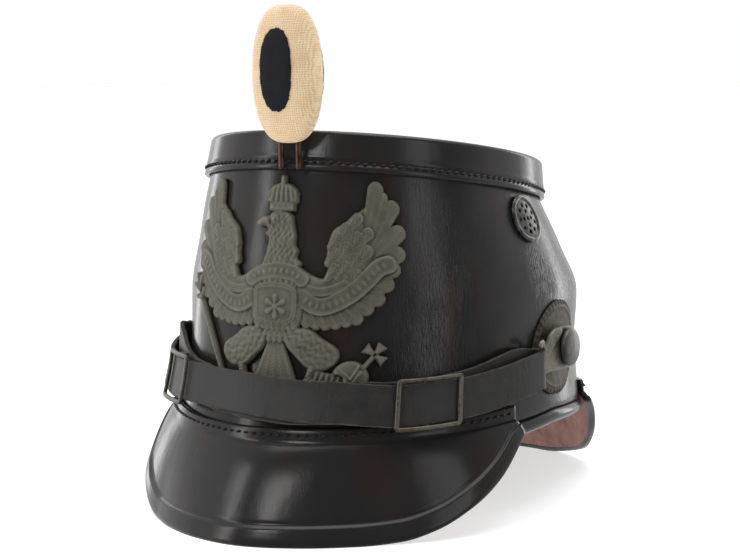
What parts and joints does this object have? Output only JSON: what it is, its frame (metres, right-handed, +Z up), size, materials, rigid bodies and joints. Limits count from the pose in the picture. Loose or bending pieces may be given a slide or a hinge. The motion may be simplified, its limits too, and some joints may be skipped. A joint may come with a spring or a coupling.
{
  "type": "shako hat",
  "caption": "Tall black leather military shako with flat sloping crown, front and rear peaks, raised metal eagle plate, oval cloth field badge and buckled chin strap.",
  "frame": {"origin": "on the ground that the two peaks rest on, under the middle of the hat's whole length and width", "axes": "-Y is the hat's front with the badge, +X the wearer's left side, +Z up"},
  "size_m": [0.1812, 0.235, 0.2106],
  "materials": {
    "lacquered_leather": "gloss lacquer",
    "strap_leather": "waxed",
    "badge_metal": "dull grey patina",
    "buckle_steel": "dark oxidised",
    "black_metal": "satin black enamel",
    "cockade_metal": "worn paint",
    "cream_cloth": "woven",
    "black_cloth": "felt",
    "copper_wire": "tarnished"
  },
  "bodies": {
    "root": {"body_shell": "lacquered_leather", "top_cap": "lacquered_leather", "base_roll": "lacquered_leather", "front_peak": "lacquered_leather", "rear_peak": "lacquered_leather", "chin_strap": "strap_leather", "buckle_left": "buckle_steel", "buckle_right": "buckle_steel", "cockade_left": "cockade_metal", "cockade_right": "cockade_metal", "strap_fitting_left": "buckle_steel", "strap_fitting_right": "buckle_steel", "side_post_left": "black_metal", "side_post_right": "black_metal", "vent_left": "black_metal", "vent_right": "black_metal", "eagle_badge": "badge_metal", "field_badge_body": "cream_cloth", "field_badge_patch_front": "black_cloth", "field_badge_patch_back": "black_cloth", "field_badge_prong_left": "copper_wire", "field_badge_prong_right": "copper_wire"}
  },
  "joints": []
}
